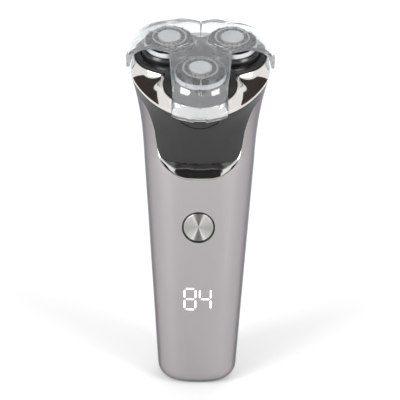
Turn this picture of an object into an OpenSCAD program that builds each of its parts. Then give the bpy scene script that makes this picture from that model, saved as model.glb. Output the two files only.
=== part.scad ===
// Rotary electric shaver: handle, drive train, hinged three-head shaving unit, clear travel cap.
// Millimetres. +Z up, the display side faces -Y, origin at the centre of the flat base.
// Head frame: its origin lies in the plane of the head caps, +Z out of the heads, +Y to the rear.

/* [Handle] */
// Half the width of the handle at its base
base_half_w = 17.6; // [17:0.1:19]
// Depth from the axis to the front or the back of the base
base_depth = 17; // [16.5:0.1:18]
// Radius of the rounded bottom edge
base_round = 6; // [4:0.5:6.5]
// Thickness of the moulded walls
wall = 1.8; // [1.6:0.1:2]
// Height at which the handle starts to flare towards the head
flare_z = 100; // [98:1:102]

/* [Head] */
// Angle that the head leans towards the front
tilt = 24; // [22:1:26]
// Distance of each cutting head from the middle
head_spread = 15.5; // [15.3:0.1:15.7]
// Radius of the chrome lobe around each head
lobe_r = 16; // [15.8:0.1:16.2]
// Depth of the joint line below the head caps
seam_h = 14; // [13.9:0.1:14.2]
// How far a head sinks when it is pressed
float_travel = 1.5; // [1:0.1:1.5]

/* [Travel cap] */
// Radius of the cap's dome over each head
cap_r = 18; // [17.8:0.1:18.4]
// Half the width of each arm of the cap
cap_half_w = 13; // [12:0.5:13.5]
// Thickness of the clear plastic
cap_wall = 1.3; // [1.1:0.1:1.4]

/* [Controls] */
// Height of the power button's centre
button_z = 76.6; // [74:0.2:79]
// Radius of the power button
button_r = 6.5; // [6:0.1:6.6]
// Height of the middle of the two display digits
display_z = 42.9; // [40:0.5:46]
// Height of one digit
digit_h = 10.6; // [9:0.2:11]
// Width of one digit
digit_w = 5.5; // [5:0.1:5.6]
// Distance between the digits' centres
digit_pitch = 6.7; // [6.6:0.1:7]

/* [Gears] */
// Module of all the gears
gear_module = 0.5; // [0.5]
// Teeth of the motor pinion
pinion_teeth = 12; // [12]
// Teeth of the large centre wheel
wheel_teeth = 28; // [28]
// Teeth of the small centre wheel, a multiple of 3
sun_teeth = 24; // [24]
// Teeth of each drive gear
drive_teeth = 38; // [38]

/* [Hidden] */
$fn = 64;
silver = "#BAB6B4";
dark_grey = "#474747";
chrome = "#D6D4D2";
black = "#202020";
steel = "#B9BCBE";
pale = "#E3E6E6";

// Handle outline: a squarish oval that widens upwards
oval_power = 2.8;
side_slope = 0.0625;
front_slope = 0.051;
back_slope = 0.035;
back_curve = 0.0015;
back_curve_z = 90;
gap = 0.15;
// Head frame origin, and the joint line's plane and outline
head_y = -3.9;
head_z = 151.2;
seam_r = 30;
seam_lobe = 1.6;
seam_y = head_y + seam_h * sin(tilt);
seam_z = head_z - seam_h * cos(tilt);
flare_side = 0.33;
flare_tip = 0.13;
// Front part of the handle reaches this angle either side of the front
front_reach = 112;
scoop = 4.6;
scoop_z = 104;
scoop_tall = 21.5;

function half_w(z) = base_half_w + side_slope * z;
function front_d(z) = base_depth + front_slope * z;
function back_d(z) = base_depth + back_slope * z + back_curve * pow(max(0, z - back_curve_z), 2);

function oval(th, a, f, b) =
    let (c = abs(cos(th)) / a, s = abs(sin(th)) / (sin(th) < 0 ? f : b))
    let (r = pow(pow(c, oval_power) + pow(s, oval_power), -1 / oval_power))
    [r * cos(th), r * sin(th)];
function low_skin(th, z, w) = oval(th, half_w(z) - w, front_d(z) - w, back_d(z) - w);
function seam_outline(th) = seam_r + seam_lobe * cos(3 * (th - 270));
function seam_top(th) = seam_z + seam_outline(th) * sin(th) * sin(tilt);
function seam_xy(th, w) =
    let (r = seam_outline(th) - w)
    [r * cos(th), seam_y + r * sin(th) * cos(tilt)];
function hermite(p, q, m, n, s) =
    (2 * s * s * s - 3 * s * s + 1) * p + (s * s * s - 2 * s * s + s) * m
    + (3 * s * s - 2 * s * s * s) * q + (s * s * s - s * s) * n;
function high_skin(th, z, w) =
    let (rise = seam_top(th) - flare_z, s = (z - flare_z) / rise)
    let (p = low_skin(th, flare_z, w), below = low_skin(th, flare_z - 1, w))
    let (out = flare_side - flare_tip * sin(th))
    hermite(p, seam_xy(th, w), (p - below) * rise, [cos(th), sin(th)] * out * rise, s);
// Point of the handle's surface in direction th at height z, w inside it
function skin(th, z, w = 0) =
    let (p = z <= flare_z ? low_skin(th, z, w) : high_skin(th, z, w))
    [p[0], p[1], z];

// Angle either side of the front, 0 to 180
function turn(th) = abs(th - 270) > 180 ? 360 - abs(th - 270) : abs(th - 270);
neck_edge = [
    [0, 104], [25, 104.3], [36, 105.5], [41, 107], [44, 110.2], [45, 112.4], [48, 118.5],
    [52, 122.7], [57, 126.3], [65, 128.8], [76, 130.6], [90, 131.4]
];
bezel_edge = [[0, 98.2], [18, 98.4], [25, 100], [31, 101.6], [36, 103.2], [41, 105.8], [44, 109.6]];
neck_side_low = 131.4;
function neck_low(th) =
    turn(th) < 90 ? lookup(turn(th), neck_edge) : neck_side_low + seam_top(th) - seam_top(0);
bezel_end = 44;
function shell_high(th) = turn(th) < bezel_end ? lookup(turn(th), bezel_edge) : neck_low(th) - gap;
// The neck's front is scooped in behind the handle's surface
scoop_full = 25;
scoop_fading = 22;
function scoop_fade(th) =
    let (s = min(1, max(0, (turn(th) - scoop_full) / scoop_fading)))
    (1 + cos(180 * s)) / 2;
function scoop_depth(th, z) =
    let (s = min(1, max(0, (z - scoop_z) / scoop_tall)))
    scoop * scoop_fade(th) * pow(1 - s, 1.5);
function neck_skin(th, z, w = 0) =
    let (p = skin(th, z, w), k = 1 - scoop_depth(th, z) / norm([p[0], p[1]]))
    [p[0] * k, p[1] * k, z];

// Directions of the columns of points around the handle
front_turns = [0, 8, 16, 22, 28, 34, 38, 41, 43.5, 45, 46.5, 48, 52, 57, 63, 70, 78, 86, 95, 104, 112];
rear_reach = front_reach + 0.3;
rear_steps = 8;
last = len(front_turns) - 1;
front_dirs = [for (i = [-last : last]) 270 + sign(i) * front_turns[abs(i)]];
rear_dirs = [for (i = [0 : 2 * rear_steps]) rear_reach - 90 + (180 - rear_reach) * i / rear_steps];
around_dirs = concat(
    [for (d = front_dirs) d],
    [for (i = [1 : len(rear_dirs) - 2]) rear_dirs[i] + 360]
);

// Solid through a row of rings of points, each ring an outer run up and an inner run down
module ring_solid(rings, loop = false) {
    m = len(rings[0]);
    n = len(rings);
    sides = [
        for (i = [0 : n - (loop ? 1 : 2)], j = [0 : m - 1])
        let (a = i * m + j, b = i * m + (j + 1) % m, e = ((i + 1) % n) * m)
        each [[a, b, e + (j + 1) % m], [a, e + (j + 1) % m, e + j]]
    ];
    first_cap = [
        for (j = [0 : m / 2 - 2])
        each [[j, m - 1 - j, m - 2 - j], [j, m - 2 - j, j + 1]]
    ];
    end = (n - 1) * m;
    last_cap = [for (t = first_cap) [end + t[2], end + t[1], end + t[0]]];
    polyhedron([for (r = rings) each r], loop ? sides : concat(sides, first_cap, last_cap), 4);
}

edge_steps = 4;
straight_top = 84;
// Rounded bottom edge, then straight up: [height, inset] pairs of the lower handle
foot = concat(
    [for (i = [0 : edge_steps]) base_round * [1 - cos(90 * i / edge_steps), 1 - sin(90 * i / edge_steps)]],
    [[32, 0], [62, 0], [straight_top, 0]]
);
function foot_point(th, k, w) =
    let (share = (base_round - w) / base_round, z = k[0] < base_round ? w + k[0] * share : k[0])
    skin(th, z, w + k[1] * share);
top_steps = 5;
function shell_ring(th, top) =
    let (out = [for (k = foot) foot_point(th, k, 0)], inn = [for (k = foot) foot_point(th, k, wall)])
    let (zs = [for (i = [1 : top_steps]) straight_top + (top - straight_top) * i / top_steps])
    concat(
        out, [for (z = zs) skin(th, z)],
        [for (i = [top_steps - 1 : -1 : 0]) skin(th, zs[i], wall)],
        [for (i = [len(foot) - 1 : -1 : 0]) inn[i]]
    );

// Place things in the head frame, or around its three heads
module in_head() {
    translate([0, head_y, head_z])
        rotate([tilt, 0, 0])
            children();
}
head_dirs = [270, 30, 150];
module at_head(i) {
    in_head()
        rotate([0, 0, head_dirs[i - 1]])
            translate([head_spread, 0, 0])
                children();
}
// Cylinder of radius r between two depths below the head caps
module pillar(r, top, bottom) {
    translate([0, 0, -bottom])
        cylinder(r = r, h = bottom - top);
}
module tube(r_out, r_in, top, bottom) {
    translate([0, 0, -bottom])
        linear_extrude(bottom - top)
            difference() {
                circle(r_out);
                circle(r_in);
            }
}
// Local +Z points into the handle, square to its front face
button_lean = atan(front_slope);
module at_button() {
    translate([0, -front_d(button_z), button_z])
        rotate([button_lean - 90, 0, 0])
            children();
}

// ---- Handle ----
boss_at = [[12, 22, 14.4], [12, 80, 17.4]];
module boss_holes(r, from, to) {
    for (side = [-1, 1], b = boss_at)
        translate([side * b[0], from, b[1]])
            rotate([-90, 0, 0])
                cylinder(r = r, h = to - from);
}
button_hole_r = button_r + 0.65;
module front_shell() {
    color(silver)
        difference() {
            ring_solid([for (th = front_dirs) shell_ring(th, shell_high(th))]);
            at_button()
                translate([0, 0, -3])
                    cylinder(r = button_hole_r, h = 8);
            strokes_84(0.05, display_back, display_back + 8);
        }
}
chassis_back = -5.4;
module rear_cover() {
    color(dark_grey) {
        difference() {
            union() {
                ring_solid([for (th = rear_dirs) shell_ring(th, shell_high(th))]);
                for (side = [-1, 1], b = boss_at)
                    translate([side * b[0], chassis_back, b[1]])
                        rotate([-90, 0, 0])
                            cylinder(r = 2.3, h = b[2] - chassis_back);
            }
            boss_holes(1, chassis_back - 1, 4.5);
        }
    }
}
module cover_screws() {
    color(steel)
        for (side = [-1, 1], b = boss_at)
            translate([side * b[0], 4, b[1]])
                rotate([90, 0, 0]) {
                    cylinder(r = 1, h = 4 - chassis_back + 1.2);
                    translate([0, 0, 4 - chassis_back + 1.2])
                        cylinder(r = 1.9, h = 1);
                }
}
neck_steps = 7;
module neck_collar() {
    color(dark_grey)
        difference() {
            union() {
                ring_solid([
                    for (th = around_dirs)
                    let (low = neck_low(th), steps = [0 : neck_steps])
                    let (outer = (seam_top(th) - gap - low) / neck_steps)
                    let (inner = outer - wall * sin(th) * sin(tilt) / neck_steps)
                    concat(
                        [for (i = steps) neck_skin(th, low + outer * i)],
                        [for (i = steps) neck_skin(th, low + inner * (neck_steps - i), wall)]
                    )
                ], loop = true);
                in_head()
                    neck_knuckles();
            }
            in_head()
                translate([0, hinge_b, -hinge_h])
                    rotate([0, 90, 0])
                        cylinder(r = pin_r, h = 40, center = true);
            in_head()
                release_window(0.3);
        }
}
bezel_turns = [for (t = front_turns) if (t < bezel_end - 1) t];
module mirror_bezel() {
    n = len(bezel_turns) - 1;
    dirs = [for (i = [-n : n]) 270 + sign(i) * bezel_turns[abs(i)]];
    color(chrome)
        ring_solid([
            for (th = dirs)
            let (low = shell_high(th) + gap, top = neck_low(th) - gap)
            [skin(th, low, 0.1), neck_skin(th, top, 0.1), neck_skin(th, top, wall), skin(th, low, wall)]
        ]);
}
socket_w = 8.94;
socket_t = 3.26;
module slot_shape(w, t) {
    square([w - t, t], center = true);
    for (side = [-1, 1])
        translate([side * (w - t) / 2, 0])
            circle(d = t, $fn = 32);
}
base_gap = 0.12;
module base_plate() {
    inset = base_round + base_gap;
    color(dark_grey)
        difference() {
            linear_extrude(wall)
                difference() {
                    polygon([
                        for (th = [0 : 6 : 354])
                        oval(th, base_half_w - inset, base_depth - inset, base_depth - inset)
                    ]);
                    slot_shape(socket_w + 0.1, socket_t + 0.1);
                }
            translate([0, 0, -1])
                linear_extrude(1.5)
                    slot_shape(socket_w + 1.4, socket_t + 1.4);
        }
}
module charging_socket() {
    color(steel) {
        translate([0, 0, 0.5])
            linear_extrude(7.3)
                difference() {
                    slot_shape(socket_w, socket_t);
                    slot_shape(socket_w - 0.6, socket_t - 0.6);
                }
        translate([0, 0, 7])
            linear_extrude(0.8)
                slot_shape(socket_w - 0.5, socket_t - 0.5);
        translate([-3.35, -0.35, 1.4])
            cube([6.7, 0.7, 6]);
        translate([-4, -7.3, 6.6])
            cube([8, 7.3, 1.2]);
    }
}
cell_r = 7.1;
cell_y = 3.2;
module battery() {
    color("#2F6F9F")
        translate([0, cell_y, 16.2]) {
            cylinder(r = cell_r, h = 48);
            cylinder(r = 2.6, h = 49);
        }
}
module inner_chassis() {
    color("#D8D8D4")
        difference() {
            union() {
                translate([-14.2, chassis_back - 1.2, 14])
                    cube([28.4, 1.2, 76]);
                for (side = [-1, 1])
                    translate([side * 8.2 - 0.7, chassis_back, 15])
                        cube([1.4, 10, 50.6]);
                translate([-8.9, chassis_back, 14])
                    cube([17.8, 10, 1.6]);
                translate([-8.9, chassis_back, 65.6])
                    cube([17.8, 10, 1.6]);
            }
            boss_holes(1, chassis_back - 3, 0);
        }
}
board_front = -9.4;
module circuit_board() {
    color("#1F6B3A")
        translate([-10, board_front, 12])
            cube([20, 1.4, 74]);
}
module display_module() {
    color(pale)
        translate([-8.2, -15.6, display_z - 7])
            cube([16.4, 15.6 + board_front, 14]);
}
// The strokes of a digit: a top, b and c right, d bottom, e and f left, g middle
stroke = 0.95;
mitre = 0.35;
module stroke_bar(len, slack) {
    w = stroke / 2 + slack;
    l = len / 2 + slack;
    polygon([[-l, 0], [-l + w, w], [l - w, w], [l, 0], [l - w, -w], [-l + w, -w]]);
}
module digit(strokes, slack) {
    across = digit_w - stroke;
    tall = (digit_h - stroke) / 2;
    for (s = strokes)
        if (s == "a" || s == "g" || s == "d")
            translate([0, s == "a" ? tall : s == "g" ? 0 : -tall])
                stroke_bar(across - mitre, slack);
        else
            translate([
                (s == "b" || s == "c" ? 1 : -1) * across / 2,
                (s == "b" || s == "f" ? 1 : -1) * tall / 2
            ])
                rotate(90)
                    stroke_bar(tall - mitre, slack);
}
// Strokes of the number 84, from this far behind the handle's face to that far
display_back = 15.7;
module strokes_84(slack, from, to) {
    translate([0, -from, display_z])
        rotate([90, 0, 0])
            linear_extrude(to - from) {
                translate([-digit_pitch / 2, 0])
                    digit(["a", "b", "c", "d", "e", "f", "g"], slack);
                translate([digit_pitch / 2, 0])
                    digit(["b", "c", "f", "g"], slack);
            }
}
// Light guides from the display module to just under the handle's face
module display_digits() {
    color("white")
        strokes_84(0, display_back, front_d(display_z - digit_h / 2) - 0.25);
}
switch_y = -13.4;
module tact_switch() {
    color(black) {
        translate([-3, switch_y + 0.8, button_z - 2.4])
            cube([6, board_front - switch_y - 0.8, 6]);
        translate([0, switch_y, button_z + 0.6])
            rotate([-90, 0, 0])
                cylinder(r = 1.6, h = 1);
    }
}
module button_ring() {
    color(black)
        at_button()
            translate([0, 0, 0.35])
                linear_extrude(2.2)
                    difference() {
                        circle(button_hole_r - 0.03);
                        circle(button_r + 0.15);
                    }
}
module power_button_cap() {
    color(steel)
        at_button()
            translate([0, 0, 0.05])
                cylinder(r = button_r, h = 1.5);
}
button_travel = 0.6;
stem_top = 1.55;
stem_flange = 1.2;
module power_button_stem() {
    stem_length = front_d(button_z) + switch_y - stem_top - stem_flange - button_travel - 0.15;
    color(black)
        at_button()
            translate([0, 0, stem_top]) {
                cylinder(r = 5, h = stem_flange);
                cylinder(r = 1.8, h = stem_flange + stem_length);
            }
}

// ---- Drive train ----
motor_b = -gear_module * (pinion_teeth + wheel_teeth) / 2;
motor_r = 10;
motor_top = 26.4;
motor_bottom = 51.4;
module on_motor() {
    in_head()
        translate([0, motor_b, 0])
            children();
}
module motor_can() {
    color(steel)
        on_motor()
            difference() {
                union() {
                    pillar(motor_r, motor_top, motor_bottom);
                    pillar(3, motor_top - 1.2, motor_top);
                }
                pillar(1.05, motor_top - 2, motor_bottom + 1);
            }
}
module motor_end_cap() {
    color(black)
        on_motor()
            difference() {
                pillar(motor_r - 0.6, motor_bottom, motor_bottom + 2);
                pillar(1.05, motor_bottom - 1, motor_bottom + 3);
            }
}
module motor_shaft() {
    color(steel)
        on_motor()
            pillar(1, 22.2, motor_bottom + 1.6);
}
pressure = 20;
gear_play = 0.12;
function involute(a) = tan(a) * 180 / PI - a;
// Half the angle that a tooth of an n-tooth gear spans at radius r
function tooth_half(n, r) =
    let (pitch = gear_module * n / 2, base = pitch * cos(pressure))
    90 / n - gear_play / 2 / pitch * 180 / PI + involute(pressure) - involute(acos(base / max(r, base)));
module gear_shape(n) {
    pitch = gear_module * n / 2;
    radii = [for (k = [-1.25, -0.4, 0.3, 1]) pitch + k * gear_module];
    flank = [for (r = radii) [r, tooth_half(n, r)]];
    tooth = concat(
        [for (f = flank) [f[0], -f[1]]],
        [for (k = [3 : -1 : 0]) flank[k]]
    );
    polygon([
        for (t = [0 : n - 1], p = tooth)
        p[0] * [cos(360 * t / n + p[1]), sin(360 * t / n + p[1])]
    ]);
}
module gear(n, top, bottom) {
    translate([0, 0, -bottom])
        linear_extrude(bottom - top)
            gear_shape(n);
}
module motor_pinion() {
    color("#E9E4D0")
        on_motor()
            difference() {
                rotate([0, 0, 90 + 180 / pinion_teeth])
                    gear(pinion_teeth, 22.2, 24.6);
                pillar(1, 20, 26);
            }
}
module centre_gear() {
    color("#E9E4D0")
        in_head() {
            gear(sun_teeth, 18.4, 21.4);
            pillar(5, 21.4, 22.4);
            gear(wheel_teeth, 22.4, 24.4);
            pillar(1, 16.9, 18.4);
            pillar(1, 24.4, 26.2);
        }
}
spindle_r = 2.5;
tip_top = 6.2;
tip_base = 9.4;
module drive_gear(i) {
    color("#E9E4D0")
        at_head(i) {
            rotate([0, 0, 180 + 180 / drive_teeth])
                gear(drive_teeth, 18.4, 21.4);
            pillar(1, 21.2, 22.9);
            pillar(spindle_r, tip_base, 18.6);
            translate([-1.1, -1.5, -tip_base - 0.2])
                cube([2.2, 3, tip_base + 0.2 - tip_top]);
        }
}
post_dirs = [90, 210, 330];
module at_posts() {
    for (d = post_dirs)
        rotate([0, 0, d])
            translate([head_spread, 0, 0])
                children();
}
module gear_plate() {
    color("#C9C9C5")
        in_head()
            difference() {
                union() {
                    pillar(18.5, 21.8, 23);
                    at_posts()
                        pillar(2, 17.4, 22.4);
                }
                pillar(8.2, 20, 25);
                translate([0, motor_b, 0])
                    pillar(4.2, 20, 25);
                for (d = head_dirs)
                    rotate([0, 0, d])
                        translate([head_spread, 0, 0])
                            pillar(1.05, 21, 24);
                at_posts()
                    pillar(0.8, 16, 24);
            }
}
module motor_plate() {
    color("#C9C9C5")
        in_head()
            difference() {
                union() {
                    pillar(17.4, 25, motor_top);
                    translate([-2.6, spring_end, -27.6])
                        cube([5.2, 6, 2.6]);
                    translate([-2.6, spring_end, -25.2])
                        cube([5.2, 1.4, 1.6]);
                    at_posts()
                        pillar(2, 23, 25.2);
                }
                pillar(1.05, 24, 28);
                translate([0, motor_b, 0])
                    pillar(3.05, 24, motor_top + 0.01);
                translate([0, motor_b, 0])
                    pillar(motor_r + 0.1, motor_top, 29);
                at_posts()
                    pillar(0.8, 22, 27);
            }
}
module gear_screws() {
    color(steel)
        in_head()
            at_posts() {
                pillar(0.8, 17.6, motor_top);
                pillar(1.5, motor_top, motor_top + 1);
            }
}
// The neck narrows towards the rear faster than the head leans, so the floor does too
function floor_inset(th) = let (s = sin(th)) 3.1 + (s > 0 ? 2.6 * s - 0.86 * s * s : -0.5 * s);
gasket_w = 0.4;
function floor_outline(grow) =
    [for (th = [0 : 5 : 355]) (seam_outline(th) - floor_inset(th) + grow) * [cos(th), sin(th)]];
module chamber_floor() {
    color("#8E8E8C")
        in_head()
            difference() {
                translate([0, 0, -17.4])
                    linear_extrude(1.4)
                        polygon(floor_outline(0));
                pillar(1.05, 16.7, 18);
                for (d = head_dirs)
                    rotate([0, 0, d])
                        translate([head_spread, 0, 0])
                            pillar(3.6, 15, 18);
                at_posts()
                    pillar(0.8, 17, 18);
            }
}
module floor_gasket() {
    color(black)
        in_head()
            translate([0, 0, -17.1])
                linear_extrude(0.8)
                    difference() {
                        polygon(floor_outline(gasket_w));
                        polygon(floor_outline(0));
                    }
}
module spindle_seals() {
    color(black)
        for (i = [1 : 3])
            at_head(i)
                tube(3.6, spindle_r + 0.06, 15.4, 17.4);
}

// ---- Hinge and release button ----
hinge_b = 30.4;
hinge_h = 14;
pin_r = 0.75;
knuckle_r = 1.7;
knuckle_half = 4.2;
knuckle_end = 9;
module knuckle(from, to) {
    translate([from, hinge_b, -hinge_h])
        rotate([0, 90, 0])
            cylinder(r = knuckle_r, h = to - from);
}
module neck_knuckles() {
    for (side = [0, 1])
        mirror([side, 0, 0]) {
            knuckle(knuckle_half + 0.2, knuckle_end);
            translate([knuckle_half + 0.2, seam_r - 3.1, -hinge_h - knuckle_r])
                cube([knuckle_end - knuckle_half - 0.2, hinge_b - seam_r + 3.1, 1.4]);
        }
}
module hinge_pin() {
    color(steel)
        in_head()
            translate([-knuckle_end, hinge_b, -hinge_h])
                rotate([0, 90, 0])
                    cylinder(r = pin_r, h = 2 * knuckle_end);
}
pad_half = 7.5;
pad_top = 15.4;
pad_bottom = 19;
pad_back = -30.3;
// Crescent outline of the button, seen square to the neck; u = -1 to 1 across it
module pad_shape(slack) {
    polygon(concat(
        [for (u = [-1 : 0.125 : 1]) [u * (pad_half + slack), -(pad_bottom + slack) + 2.2 * u * u]],
        [[pad_half + slack, -pad_top + slack], [-pad_half - slack, -pad_top + slack]]
    ));
}
module release_window(slack) {
    translate([0, -26, 0])
        rotate([90, 0, 0])
            linear_extrude(9)
                pad_shape(slack);
}
catch_front = -28.1;
spring_start = -26.95;
spring_end = -22.4;
module release_button() {
    color(dark_grey)
        in_head() {
            translate([0, pad_back, 0])
                rotate([90, 0, 0])
                    linear_extrude(1.25)
                        pad_shape(0);
            for (side = [0, 1])
                mirror([side, 0, 0])
                    translate([3.6, pad_back, -18.25])
                        cube([1.2, catch_front - pad_back, 0.65]);
            translate([-4.8, catch_front, -18.25])
                cube([9.6, 1.1, 0.65]);
            translate([-3, catch_front, -27.2])
                cube([6, 1.1, 9.3]);
        }
}
// Coil of wire as a chain of small rings of points
module coil(r, wire, turns, length, steps = 12) {
    sides = 6;
    n = turns * steps;
    rings = [
        for (i = [0 : n])
        let (a = 360 * i / steps, z = wire + (length - 2 * wire) * i / n)
        [
            for (j = [0 : sides - 1])
            let (b = -360 * j / sides, q = r + wire * cos(b))
            [q * cos(a), q * sin(a), z + wire * sin(b)]
        ]
    ];
    ring_solid(rings);
}
module release_spring() {
    color(steel)
        in_head()
            translate([0, spring_start, -25.3])
                rotate([-90, 0, 0])
                    coil(1.5, 0.22, 4, spring_end - spring_start - 0.05, 10);
}

// ---- Shaving unit ----
rim_h = 8;
dish_end = 12.4;
plate_drop = 9.2;
function lobe(th, d) =
    head_spread * cos(th - d) + sqrt(lobe_r * lobe_r - pow(head_spread * sin(th - d), 2));
// Chrome outline at the rim: three lobes, blended at the waists
lobe_blend = 6;
function rim_outline(th) =
    pow(
        pow(lobe(th, 270), lobe_blend) + pow(lobe(th, 30), lobe_blend) + pow(lobe(th, 150), lobe_blend),
        1 / lobe_blend
    );
function skirt_outline(th, h) =
    let (s = pow(min(1, max(0, (h - rim_h) / (dish_end - rim_h))), 1.5))
    rim_outline(th) + (seam_outline(th) - rim_outline(th)) * s;
function skirt_wall(h) = h < 9.5 ? 0.9 : 1.4;
skirt_levels = [8, 9.4, 10.4, 11.4, 12.4, 13.85];
function skirt_point(th, h, w) = let (r = skirt_outline(th, h) - w) [r * cos(th), r * sin(th), -h];
module chrome_skirt() {
    n = len(skirt_levels) - 1;
    color(chrome)
        in_head()
            difference() {
                union() {
                    ring_solid([
                        for (th = [0 : 5 : 355])
                        concat(
                            [for (i = [n : -1 : 0]) skirt_point(th, skirt_levels[i], 0)],
                            [for (h = skirt_levels) skirt_point(th, h, skirt_wall(h))]
                        )
                    ], loop = true);
                    knuckle(-knuckle_half, knuckle_half);
                    translate([-knuckle_half, 27.2, -hinge_h + 0.4])
                        cube([2 * knuckle_half, hinge_b - 27.2, knuckle_r - 0.5]);
                }
                translate([0, hinge_b, -hinge_h])
                    rotate([0, 90, 0])
                        cylinder(r = pin_r + 0.05, h = 30, center = true);
            }
}
dome_top = 5.5;
dome_drop = 2.5;
hole_r = 12.4;
module head_plate() {
    color(black)
        in_head()
            difference() {
                union() {
                    intersection() {
                        translate([0, 0, -plate_drop])
                            linear_extrude(plate_drop - 5)
                                polygon([
                                    for (th = [0 : 4 : 356])
                                    (rim_outline(th) - 1.1) * [cos(th), sin(th)]
                                ]);
                        rotate_extrude()
                            polygon(concat(
                                [for (r = [0 : 8 : 32]) [r, -dome_top - dome_drop * r * r / (31 * 31)]],
                                [[32, -plate_drop - 1], [0, -plate_drop - 1]]
                            ));
                    }
                    pillar(2.2, plate_drop - 0.5, 11.8);
                }
                for (d = head_dirs)
                    rotate([0, 0, d])
                        translate([head_spread, 0, 0])
                            pillar(hole_r, 4, 12);
                pillar(0.8, 8, 13);
            }
}
frame_top = 11.8;
frame_bottom = 13.2;
module retaining_frame() {
    color("#3A5F8A")
        in_head() {
            difference() {
                translate([0, 0, -frame_bottom])
                    linear_extrude(frame_bottom - frame_top)
                        polygon([
                            for (th = [0 : 5 : 355])
                            (skirt_outline(th, frame_top) - 1.9) * [cos(th), sin(th)]
                        ]);
                for (d = head_dirs)
                    rotate([0, 0, d])
                        translate([head_spread, 0, 0])
                            pillar(9.6, 11, 14);
                pillar(0.8, 11, 14);
            }
            translate([-3, -29.4, -19.6])
                cube([6, 0.7, 19.6 - frame_top]);
            translate([-3, -28.8, -19.6])
                cube([6, 0.55, 0.75]);
        }
}
module frame_screw() {
    color(steel)
        in_head() {
            pillar(0.8, 9.2, frame_bottom);
            pillar(1.7, frame_bottom, frame_bottom + 0.9);
        }
}

// ---- Cutting heads ----
foil_in = 4.55;
foil_out = 10.2;
module foil_guard(i) {
    color(steel)
        at_head(i)
            rotate_extrude()
                polygon([
                    [foil_in, 0], [foil_out, 0], [10.55, -0.5], [10.9, -4.6],
                    [10.6, -4.6], [10.25, -0.6], [foil_out - 0.1, -0.3], [foil_in, -0.3]
                ]);
}
module head_disc(i) {
    color(pale)
        at_head(i) {
            pillar(4.5, -0.35, 0.35);
            pillar(1.5, 0.35, 2.2);
        }
}
module head_ring(i) {
    color(black)
        at_head(i)
            rotate_extrude()
                polygon([
                    [10.4, -4.6], [12.1, -4.9], [12.1, -9.45], [13, -9.45], [13, -10.05],
                    [11.75, -10.05], [11.75, -6], [10.4, -6]
                ]);
}
module head_spring(i) {
    color(steel)
        at_head(i)
            translate([0, 0, -11.75])
                coil(11.2, 0.3, 2.5, 5.7, 20);
}
blade_count = 15;
module blades(r_in, r_out) {
    for (k = [0 : blade_count - 1])
        rotate([0, 0, 360 * k / blade_count])
            translate([r_in, -0.2, -3.1])
                cube([r_out - r_in, 0.4, 2.5]);
}
module cutter_blades(i) {
    color(steel)
        at_head(i) {
            tube(9.9, 4.2, 3, 3.6);
            blades(7.9, 9.8);
            blades(4.9, 6.7);
        }
}
socket_r = 3.4;
module cutter_coupler(i) {
    color("#E9E4D0")
        at_head(i)
            difference() {
                union() {
                    pillar(7, 3.6, 4.2);
                    pillar(4.9, 4.2, 8.2);
                }
                pillar(socket_r, 4.4, 9);
            }
}

// ---- Travel cap ----
cap_top = 4.1;
cap_flat = 6;
cap_shoulder = 9.6;
lip_front = 14.5;
lip_side = 12;
// Angle off an arm's middle at which its end arc meets its straight side
arm_reach = sqrt(cap_r * cap_r - cap_half_w * cap_half_w) + head_spread;
arm_turn = atan(cap_half_w / arm_reach);
arm_turns = [
    -60, -50, -40, -32, -arm_turn - 0.3, -arm_turn + 0.3, -18, -12, -6,
    0, 6, 12, 18, arm_turn - 0.3, arm_turn + 0.3, 32, 40, 50
];
cap_steps = 7;
cap_slack = 0.35;
// Shares of the lip's height at which it steps out to the band, and its end
lip_steps = [0.2, 0.3, 1];

// Height of the cap's top over a point l along an arm and t across it
function dome_height(l, t) =
    let (q = l < head_spread ? abs(t) : norm([l - head_spread, t]))
    let (s = min(1, max(0, (q - cap_flat) / (cap_r - cap_flat))))
    cap_top - cap_shoulder * (1 - sqrt(1 - s * s));
function cap_edge(a) =
    abs(a) > arm_turn ? cap_half_w / sin(abs(a))
    : head_spread * cos(a) + sqrt(cap_r * cap_r - pow(head_spread * sin(a), 2));
// Edge of the lip below the dome, wide enough to clear the chrome skirt inside it
function cap_band(d, a) = max(cap_edge(a), seam_outline(d + a) + cap_slack + cap_wall);
// One section of the shell, from the middle out to the edge, down to the lip and back inside
function cap_run(d, a, lip) =
    let (edge = cap_edge(a), turned = d + a, k_in = (edge - cap_wall) / edge)
    let (rs = [for (k = [1 : cap_steps]) edge * sin(90 * k / cap_steps)])
    let (brim = dome_height(edge * cos(a), edge * sin(a)))
    let (under = brim - cap_wall, has_lip = abs(a) < arm_turn)
    let (foot = has_lip ? -lip : under - 0.3, band = has_lip ? cap_band(d, a) : edge)
    let (roof = [for (r = rs) [r, dome_height(r * cos(a), r * sin(a))]])
    let (flat = concat(
        roof,
        [for (k = [0 : 2]) [k == 0 ? edge : band, brim + (foot - brim) * lip_steps[k]]],
        [for (k = [2 : -1 : 0]) [(k == 0 ? edge : band) - cap_wall, under + (foot - under) * lip_steps[k]]],
        [for (i = [cap_steps - 1 : -1 : 0]) [roof[i][0] * k_in, roof[i][1] - cap_wall]]
    ))
    [for (p = flat) [p[0] * cos(turned), p[0] * sin(turned), p[1]]];
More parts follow.
